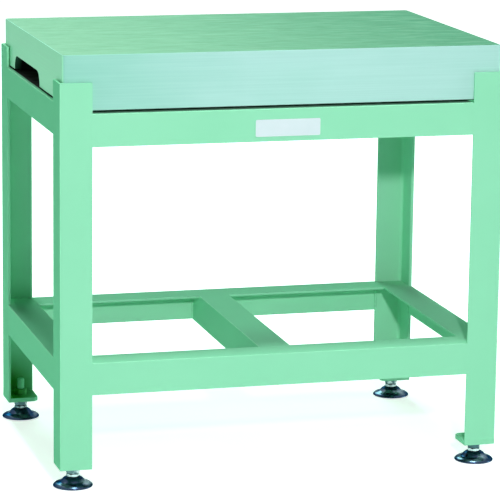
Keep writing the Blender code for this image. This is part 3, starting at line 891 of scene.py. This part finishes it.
# Each levelling foot stands on a turned steel pad with a flat sole, plated dark.
# Its socket holds the ball of the stud, so that the pad can tilt to the floor.
PAD_SILHOUETTE = [
    (0.0, 0.0), (0.0365, 0.0), (0.0376, 0.0002), (0.0390, 0.0006), (0.0398, 0.0012),
    (0.0400, 0.0019), (0.0400, 0.0024), (0.0394, 0.0034), (0.0384, 0.0045), (0.0365, 0.0061),
    (0.0335, 0.0076), (0.0300, 0.0087), (0.0270, 0.0096), (0.0252, 0.0107), (0.0236, 0.0125),
    (0.0217, 0.0146), (0.0198, 0.0165), (0.0176, 0.0179), (0.0158, 0.0188), (0.0150, 0.0197),
    (0.0140, 0.0200), (0.0072, 0.0200),
]
SOCKET = 0.0073
SOCKET_MOUTH = 0.0070
BALL_HEIGHT = 0.011
CHROME = (0.034, 0.060, 0.110, 1)
CHROME_PAINTED_HIGHLIGHT = (0.300, 0.430, 0.500, 1)
CHROME_EDGE = (0.300, 0.360, 0.420, 1)
HIGHLIGHT_BEGINS = (0.0045, 0.0085)
HIGHLIGHT_ENDS = (0.0110, 0.0165)
TURNING_LINE_DEPTH = 0.00003
TURNING_LINE_SIZE = (6, 6, 2600)


def dark_chrome():
    """Dark bright plating, with patches of painted highlight on the slope and a few faint turning
    lines.
    """
    material, nodes, links, shader, place = new_finish("dark_chrome", CHROME, 0.2, metallic=1.0)
    shader.inputs["Specular Tint"].default_value = CHROME_EDGE
    level = by_axis(nodes, links, place)["Z"]
    clear_below = spread(nodes, links, level, 0, 1, *HIGHLIGHT_BEGINS)
    clear_above = spread(nodes, links, level, 1, 0, *HIGHLIGHT_ENDS)
    patches = spread(nodes, links, noise(nodes, links, place, 34, 2), 0, 1, 0.40, 0.62)
    # Painted highlight: lighter, less metallic patches on the pad's slope, between two heights.
    lighter_patches = combine(nodes, links, "MULTIPLY", patches, clear_below, clear_above)
    links.new(tint(nodes, links, lighter_patches, CHROME, CHROME_PAINTED_HIGHLIGHT), shader.inputs["Base Color"])
    links.new(spread(nodes, links, lighter_patches, 1, 0.45, 0, 1), shader.inputs["Metallic"])
    lines = noise(nodes, links, stretched(nodes, links, place, TURNING_LINE_SIZE), 1, 2)
    links.new(spread(nodes, links, lines, 0.16, 0.28), shader.inputs["Roughness"])
    relief(nodes, links, shader, lines, TURNING_LINE_DEPTH, 0.25)
    return material


def rounded(profile, rounds=2):
    """Cuts the corners of a profile, so that it turns into smooth curves."""
    for _ in range(rounds):
        finer = [profile[0]]
        for (r1, h1), (r2, h2) in zip(profile, profile[1:]):
            finer.append((r1 * 0.75 + r2 * 0.25, h1 * 0.75 + h2 * 0.25))
            finer.append((r1 * 0.25 + r2 * 0.75, h1 * 0.25 + h2 * 0.75))
        finer.append(profile[-1])
        profile = finer
    return profile


def ball_profile(radius, widest, steps):
    """The profile of a ball, from its lowest point on the axis up to where it is cut off."""
    points = [(0, BALL_HEIGHT - radius)]
    quarter = math.pi / 2
    for step in range(1, steps + 1):
        turn = -quarter + (math.acos(widest / radius) + quarter) * step / steps
        points.append((radius * math.cos(turn), BALL_HEIGHT + radius * math.sin(turn)))
    return points


socket = ball_profile(SOCKET, SOCKET_MOUTH, 12)[::-1]
chrome = dark_chrome()
for foot in FEET:
    low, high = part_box("foot_pad_" + foot)
    middle = (low + high) / 2
    dome = move(turned(rounded(PAD_SILHOUETTE) + socket, 96), (middle.x, middle.y, 0))
    add_piece("pad_" + foot, dome, chrome, "foot_pad_" + foot, "dark_chrome", "foot_pad_" + foot)

# The stud is turned from one bar: a ball end, a neck, a hexagon collar for the spanner, and an
# M16 thread that screws through the weld nut. It is zinc plated, as is its locknut. The stand is
# sprayed with its feet in place, so the tip above the weld nut is green.
PITCH = 0.002
THREAD_CREST = 0.0080
THREAD_ROOT = 0.0068
THREAD_SHAPE = (
    (THREAD_ROOT, 0.0),
    (THREAD_ROOT, 0.16),
    (THREAD_CREST, 0.47),
    (THREAD_CREST, 0.70),
)
THREAD_STEPS = 48
THREAD_CLEARANCE = 0.0001
STUD_POINT = 0.0015
COLLAR = (0.0203, 0.0263)
COLLAR_OVERLAP = 0.002
OUTSIDE_STUD = 0.02
NECK = 0.00525
BALL = 0.007
ZINC = (0.520, 0.640, 0.660, 1)
ZINC_DARK_PATCH = (0.050, 0.110, 0.125, 1)
ZINC_FILM_DEPTH = 0.00005
SPANGLES_PER_METRE = 700
SPANGLE = (0.300, 0.400, 0.420, 1)
SPANGLE_SHADED = (0.090, 0.150, 0.165, 1)
TIP_PAINT_DARKER = (0.150, 0.560, 0.260, 1)
TIP_PAINT_HIGHLIGHT = (0.340, 0.830, 0.540, 1)


def zinc_plate(name, patch, start, stop, spangled=SPANGLE):
    """Zinc plating with small spangles, and random dark patches, which are painted reflections."""
    material, nodes, links, shader, place = new_finish(name, ZINC, 0.25, metallic=1.0)
    dark_patches = spread(nodes, links, noise(nodes, links, place, patch, 2), 0, 1, start, stop)
    bare = tint(nodes, links, dark_patches, ZINC, ZINC_DARK_PATCH)
    spangle = nodes.new("ShaderNodeTexVoronoi")
    spangle.inputs["Scale"].default_value = SPANGLES_PER_METRE
    links.new(place, spangle.inputs["Vector"])
    spots = spread(nodes, links, spangle.outputs["Distance"], 0, 0.25, 0.1, 0.7)
    links.new(tint(nodes, links, spots, bare, spangled), shader.inputs["Base Color"])
    film = noise(nodes, links, place, 180, 3)
    links.new(spread(nodes, links, film, 0.16, 0.32), shader.inputs["Roughness"])
    relief(nodes, links, shader, film, ZINC_FILM_DEPTH, 0.3)
    return material


def screw_thread(bottom, top):
    """A rod with a real helical thread between two heights, closed at both ends."""
    turns = math.ceil((top - bottom) / PITCH) + 2
    start = bottom - 1.5 * PITCH
    shape = bmesh.new()
    row = []
    for turn in range(turns):
        level = start + turn * PITCH
        for radius, share in THREAD_SHAPE:
            row.append(shape.verts.new((radius, 0, level + share * PITCH)))
    row.append(shape.verts.new((THREAD_ROOT, 0, start + turns * PITCH)))
    edges = [shape.edges.new(pair) for pair in zip(row, row[1:])]
    bmesh.ops.spin(
        shape,
        geom=row + edges,
        axis=Z,
        cent=(0, 0, 0),
        dvec=Z * PITCH / THREAD_STEPS,
        angle=2 * math.pi,
        steps=THREAD_STEPS,
        use_merge=False,
    )
    bmesh.ops.remove_doubles(shape, verts=shape.verts, dist=SAME_POINT)
    for level, facing in ((bottom, -Z), (top, Z)):
        cut = bmesh.ops.bisect_plane(
            shape,
            geom=shape.verts[:] + shape.edges[:] + shape.faces[:],
            plane_co=Z * level,
            plane_no=facing,
            clear_outer=True,
        )["geom_cut"]
        rim = [item for item in cut if isinstance(item, bmesh.types.BMEdge)]
        bmesh.ops.contextual_create(shape, geom=rim)
    bmesh.ops.recalc_face_normals(shape, faces=shape.faces)
    return shape


# The dark patches are painted reflections. The darkest plating is painted shade, on the rear left stud
# and three locknuts.
zinc = zinc_plate("zinc_plate", 55, 0.48, 0.60)
patchy_zinc = zinc_plate("patchy_zinc_plate", 50, 0.38, 0.50)
shaded_zinc = zinc_plate("shaded_zinc_plate", 90, 0.25, 0.50, SPANGLE_SHADED)
# The stud tips' green mixes a darker tone with a painted highlight, at random.
thread_paint = highlight_enamel("mint_enamel_on_threads", TIP_PAINT_DARKER, TIP_PAINT_HIGHLIGHT)
for foot in FEET:
    node = "foot_stud_" + foot
    low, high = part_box(node)
    middle = (low + high) / 2
    nose = [
        (0, COLLAR[0]),
        (OUTSIDE_STUD, COLLAR[0]),
        (OUTSIDE_STUD, high.z - 3 * STUD_POINT),
        (THREAD_CREST + THREAD_CLEARANCE, high.z - STUD_POINT),
        (THREAD_CREST - STUD_POINT, high.z),
        (0, high.z),
    ]
    rod = carve(screw_thread(COLLAR[1] - COLLAR_OVERLAP, high.z), turned(nose, 64), "INTERSECT")
    collar = move(hexagon_with_chamfers(COLLAR[1] - COLLAR[0]), Z * COLLAR[0])
    ball = ball_profile(BALL, NECK, 14)
    ball += [(NECK, COLLAR[0] + COLLAR_OVERLAP), (0, COLLAR[0] + COLLAR_OVERLAP)]
    stud = move(join([turned(ball, 48), collar, rod]), (middle.x, middle.y, 0))
    nut_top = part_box("foot_weld_nut_" + foot)[1].z
    for face in stud.faces:
        face.material_index = int(face.calc_center_median().z > nut_top - SEAM)
    plating = shaded_zinc if foot == "rear_left" else zinc
    add_piece("stud_" + foot, stud, (plating, thread_paint), node, "bright_zinc", node)

    node = "foot_locknut_" + foot
    low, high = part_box(node)
    locknut = move(nut(high.z - low.z), (middle.x, middle.y, low.z))
    plating = patchy_zinc if foot == "front_left" else shaded_zinc
    add_piece("locknut_" + foot, locknut, plating, node, "bright_zinc", node)

# The studio has a pale floor that runs out to white, and a white surround. The floor takes the
# stand's shadow. Its own glow, which only fills the picture's ground with white, is for the
# camera and for reflections, and lights nothing.
FLOOR_TONE = (0.72, 0.90, 0.83, 1)
FLOOR_DROP = 0.0002
FLOOR_REACH = 30
GLOW = (0.70, 1.0)
GLOW_GROWS = (0.5, 2.4)
WHITE = (1, 1, 1, 1)
WORLD_LIGHT = 0.01


def seen_directly(nodes, links):
    """1 for what the camera, a reflection or a clear body sees, 0 for light that falls on things."""
    path = nodes.new("ShaderNodeLightPath").outputs
    rays = [path["Is " + kind + " Ray"] for kind in ("Camera", "Glossy", "Transmission")]
    return combine(nodes, links, "MAXIMUM", *rays)


floor_shape = bmesh.new()
bmesh.ops.create_grid(floor_shape, x_segments=1, y_segments=1, size=FLOOR_REACH)
move(floor_shape, -Z * FLOOR_DROP)
floor_mesh = bpy.data.meshes.new("floor")
floor_shape.to_mesh(floor_mesh)
floor_shape.free()
floor = bpy.data.objects.new("floor", floor_mesh)
bpy.context.collection.objects.link(floor)
floor_paint, nodes, links, shader, place = new_finish("floor_paint", FLOOR_TONE, 0.95, gloss=0.1)
distance = nodes.new("ShaderNodeVectorMath")
distance.operation = "LENGTH"
links.new(place, distance.inputs[0])
whiter = spread(nodes, links, distance.outputs["Value"], *GLOW, *GLOW_GROWS)
glow = combine(nodes, links, "MULTIPLY", seen_directly(nodes, links), whiter)
shader.inputs["Emission Color"].default_value = WHITE
links.new(glow, shader.inputs["Emission Strength"])
floor_mesh.materials.append(floor_paint)

world = bpy.data.worlds.new("studio")
bpy.context.scene.world = world
world.use_nodes = True
nodes, links = world.node_tree.nodes, world.node_tree.links
sky = nodes["Background"]
sky.inputs["Color"].default_value = WHITE
level = spread(nodes, links, seen_directly(nodes, links), WORLD_LIGHT, 1.0, 0, 1)
links.new(level, sky.inputs["Strength"])

# Five square lamps, by name, place, width, watts and colour. The near one is small and throws the
# sharp shadows on the rear legs. The top one keeps the cross bar in the front top rail's shade.
# The others are wide and tinted green, since the photograph's shaded sides are a stronger green.
LAMPS = (
    ("near_front_lamp", (-0.43, -3.6, 1.75), 0.15, 84, (1.0, 0.80, 0.91)),
    ("left_lamp", (-7.0, -1.5, 1.2), 3.0, 105, (0.42, 1.0, 0.72)),
    ("right_lamp", (7.0, -1.0, 1.5), 3.0, 230, (0.70, 1.0, 0.86)),
    ("top_lamp", (0.0, -0.9, 6.0), 1.4, 218, (0.88, 1.0, 0.95)),
    ("back_lamp", (0.0, 5.0, 4.0), 3.0, 219, (0.65, 1.0, 0.85)),
)
MIDDLE = Vector((0, 0, 0.5))
for name, place, width, power, colour in LAMPS:
    lamp = bpy.data.lights.new(name, "AREA")
    lamp.color = colour
    lamp.shape = "SQUARE"
    lamp.size = width
    lamp.energy = power
    holder = bpy.data.objects.new(name, lamp)
    holder.location = place
    holder.rotation_euler = (MIDDLE - Vector(place)).to_track_quat("-Z", "Y").to_euler()
    bpy.context.collection.objects.link(holder)

# The camera has a long lens and stands where the edges of the photograph meet its own best.
CAMERA_PLACE = (-1.54813, -5.59611, 1.59895)
CAMERA_TURNS = (78.39895, -0.69526, -15.45032)
LENS = 203.113
SENSOR = 36
camera = bpy.data.cameras.new("camera")
camera.lens = LENS
camera.sensor_width = SENSOR
viewer = bpy.data.objects.new("camera", camera)
viewer.location = CAMERA_PLACE
viewer.rotation_euler = [math.radians(turn) for turn in CAMERA_TURNS]
bpy.context.collection.objects.link(viewer)
bpy.context.scene.camera = viewer
bpy.context.scene.view_settings.view_transform = "Standard"
